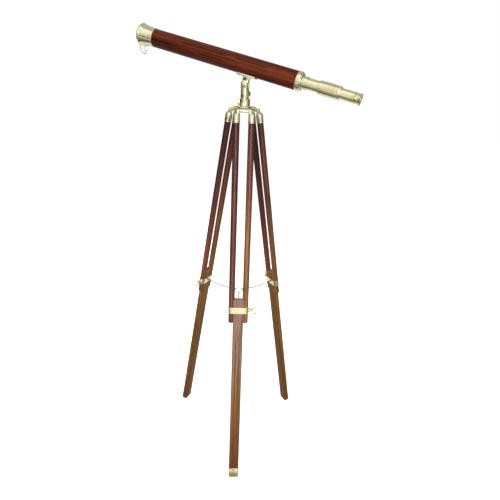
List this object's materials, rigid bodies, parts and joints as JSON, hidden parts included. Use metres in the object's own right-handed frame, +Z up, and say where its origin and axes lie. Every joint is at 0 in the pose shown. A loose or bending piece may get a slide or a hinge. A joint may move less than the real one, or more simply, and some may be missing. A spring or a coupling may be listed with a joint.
{
  "type": "telescope on tripod",
  "caption": "Floor-standing display telescope: wood barrel with a brass bell, draw tube and eyecup, on a swivel head and a folding wooden tripod with sliding boards.",
  "frame": {"origin": "on the floor, at the tripod's vertical axis", "axes": "+Z up; the front leg points along -Y; the bell points up and left, towards -X and +Y; the eyepiece towards +X and -Y"},
  "size_m": [0.6765, 0.4397, 1.5177],
  "materials": {
    "brass": "polished",
    "brass_chain": "polished",
    "dark_wood": "french polished",
    "leg_wood": "satin varnished",
    "glass": "coated",
    "liner": "blackened inside",
    "steel": "plated"
  },
  "bodies": {
    "hub": {"hub_spider": "brass", "azimuth_spindle": "brass", "hinge_screws": "brass", "spreader_ring": "brass"},
    "azimuth_head": {"yoke": "brass", "pivot_bolt": "brass"},
    "azimuth_screw": {"azimuth_screw": "brass"},
    "pivot_knob": {"pivot_knob": "brass"},
    "telescope": {"saddle": "brass", "saddle_screws": "brass", "barrel_wood": "dark_wood", "barrel_liner": "liner", "objective_bell": "brass", "objective_cell": "brass", "objective_lens": "glass", "lens_ring": "brass", "end_collar": "brass", "collar_screws": "brass", "bell_eyelet": "brass", "split_ring": "steel", "cap_chain": "steel"},
    "dust_cap": {"dust_cap": "brass"},
    "draw_tube": {"draw_tube": "brass", "draw_tube_stop": "liner", "erector_lens": "glass", "focus_sleeve": "brass"},
    "eyepiece": {"eyepiece_tube": "brass", "eye_cup": "brass", "eye_lens": "glass", "field_lens": "glass"},
    "front_leg": {"front_dowel_left": "leg_wood", "front_dowel_right": "leg_wood", "front_ferrules": "brass", "front_clamp_band": "brass"},
    "front_wing_screw": {"front_wing_screw": "brass"},
    "front_foot": {"front_slide_board": "leg_wood", "front_foot_shoe": "brass", "front_shoe_screw": "brass"},
    "front_chain_outer": {"front_chain_outer": "brass_chain"},
    "front_chain_inner": {"front_chain_inner": "brass_chain"},
    "left_leg": {"left_dowel_left": "leg_wood", "left_dowel_right": "leg_wood", "left_ferrules": "brass", "left_clamp_band": "brass"},
    "left_wing_screw": {"left_wing_screw": "brass"},
    "left_foot": {"left_slide_board": "leg_wood", "left_foot_shoe": "brass", "left_shoe_screw": "brass"},
    "left_chain_outer": {"left_chain_outer": "brass_chain"},
    "left_chain_inner": {"left_chain_inner": "brass_chain"},
    "right_leg": {"right_dowel_left": "leg_wood", "right_dowel_right": "leg_wood", "right_ferrules": "brass", "right_clamp_band": "brass"},
    "right_wing_screw": {"right_wing_screw": "brass"},
    "right_foot": {"right_slide_board": "leg_wood", "right_foot_shoe": "brass", "right_shoe_screw": "brass"},
    "right_chain_outer": {"right_chain_outer": "brass_chain"},
    "right_chain_inner": {"right_chain_inner": "brass_chain"}
  },
  "joints": [
    {"name": "azimuth_swivel", "type": "hinge", "parent": "hub", "child": "azimuth_head", "pos_m": [0, 0, 1.3125], "axis": [0, 0, 1], "continuous": true},
    {"name": "azimuth_screw_turn", "type": "hinge", "parent": "azimuth_head", "child": "azimuth_screw", "pos_m": [0.00996, -0.00836, 1.327], "axis": [0.766, -0.6428, 0], "continuous": true},
    {"name": "altitude_tilt", "type": "hinge", "parent": "azimuth_head", "child": "telescope", "pos_m": [0, 0, 1.355], "axis": [-0.3746, -0.9272, 0], "range_deg": [-40, 42]},
    {"name": "pivot_knob_turn", "type": "hinge", "parent": "azimuth_head", "child": "pivot_knob", "pos_m": [-0.00562, -0.01391, 1.355], "axis": [-0.3746, -0.9272, 0], "continuous": true},
    {"name": "draw_tube_slide", "type": "slide", "parent": "telescope", "child": "draw_tube", "axis": [0.9045, -0.3654, -0.2198], "range_m": [-0.033, 0.06]},
    {"name": "eyepiece_slide", "type": "slide", "parent": "draw_tube", "child": "eyepiece", "axis": [0.9045, -0.3654, -0.2198], "range_m": [-0.03, 0.02]},
    {"name": "dust_cap_pull", "type": "slide", "parent": "telescope", "child": "dust_cap", "axis": [-0.9045, 0.3654, 0.2198], "range_m": [0, 0.02], "deforming": ["cap_chain"]},
    {"name": "front_leg_fold", "type": "hinge", "parent": "hub", "child": "front_leg", "pos_m": [0, -0.039, 1.28], "axis": [1, 0, 0], "range_deg": [0, 9.5], "deforming": ["front_chain_outer", "front_chain_inner"]},
    {"name": "front_board_slide", "type": "slide", "parent": "front_leg", "child": "front_foot", "axis": [0, 0.1736, 0.9848], "range_m": [-0.02, 0.53]},
    {"name": "front_wing_screw_turn", "type": "hinge", "parent": "front_leg", "child": "front_wing_screw", "pos_m": [0.045, -0.14996, 0.65071], "axis": [1, 0, 0], "continuous": true},
    {"name": "front_chain_outer_swing", "type": "hinge", "parent": "front_leg", "child": "front_chain_outer", "pos_m": [0, -0.13435, 0.64796], "axis": [1, 0, 0], "range_deg": [-75, 1]},
    {"name": "front_chain_inner_swing", "type": "hinge", "parent": "hub", "child": "front_chain_inner", "pos_m": [0, -0.0155, 0.6435], "axis": [1, 0, 0], "range_deg": [-1, 96]},
    {"name": "left_leg_fold", "type": "hinge", "parent": "hub", "child": "left_leg", "pos_m": [-0.03377, 0.0195, 1.28], "axis": [-0.5, -0.866, 0], "range_deg": [0, 9.5], "deforming": ["left_chain_outer", "left_chain_inner"]},
    {"name": "left_board_slide", "type": "slide", "parent": "left_leg", "child": "left_foot", "axis": [0.1504, -0.0868, 0.9848], "range_m": [-0.02, 0.53]},
    {"name": "left_wing_screw_turn", "type": "hinge", "parent": "left_leg", "child": "left_wing_screw", "pos_m": [-0.15237, 0.03601, 0.65071], "axis": [-0.5, -0.866, 0], "continuous": true},
    {"name": "left_chain_outer_swing", "type": "hinge", "parent": "left_leg", "child": "left_chain_outer", "pos_m": [-0.11635, 0.06718, 0.64796], "axis": [-0.5, -0.866, 0], "range_deg": [-75, 1]},
    {"name": "left_chain_inner_swing", "type": "hinge", "parent": "hub", "child": "left_chain_inner", "pos_m": [-0.01342, 0.00775, 0.6435], "axis": [-0.5, -0.866, 0], "range_deg": [-1, 96]},
    {"name": "right_leg_fold", "type": "hinge", "parent": "hub", "child": "right_leg", "pos_m": [0.03377, 0.0195, 1.28], "axis": [-0.5, 0.866, 0], "range_deg": [0, 9.5], "deforming": ["right_chain_outer", "right_chain_inner"]},
    {"name": "right_board_slide", "type": "slide", "parent": "right_leg", "child": "right_foot", "axis": [-0.1504, -0.0868, 0.9848], "range_m": [-0.02, 0.53]},
    {"name": "right_wing_screw_turn", "type": "hinge", "parent": "right_leg", "child": "right_wing_screw", "pos_m": [0.10737, 0.11395, 0.65071], "axis": [-0.5, 0.866, 0], "continuous": true},
    {"name": "right_chain_outer_swing", "type": "hinge", "parent": "right_leg", "child": "right_chain_outer", "pos_m": [0.11635, 0.06718, 0.64796], "axis": [-0.5, 0.866, 0], "range_deg": [-75, 1]},
    {"name": "right_chain_inner_swing", "type": "hinge", "parent": "hub", "child": "right_chain_inner", "pos_m": [0.01342, 0.00775, 0.6435], "axis": [-0.5, 0.866, 0], "range_deg": [-1, 96]}
  ],
  "couplings": [
    {"joint": "front_chain_outer_swing", "follows": "front_leg_fold", "ratio": -7.6855},
    {"joint": "front_chain_inner_swing", "follows": "front_leg_fold", "ratio": 9.9679},
    {"joint": "left_chain_outer_swing", "follows": "left_leg_fold", "ratio": -7.6855},
    {"joint": "left_chain_inner_swing", "follows": "left_leg_fold", "ratio": 9.9679},
    {"joint": "right_chain_outer_swing", "follows": "right_leg_fold", "ratio": -7.6855},
    {"joint": "right_chain_inner_swing", "follows": "right_leg_fold", "ratio": 9.9679}
  ]
}
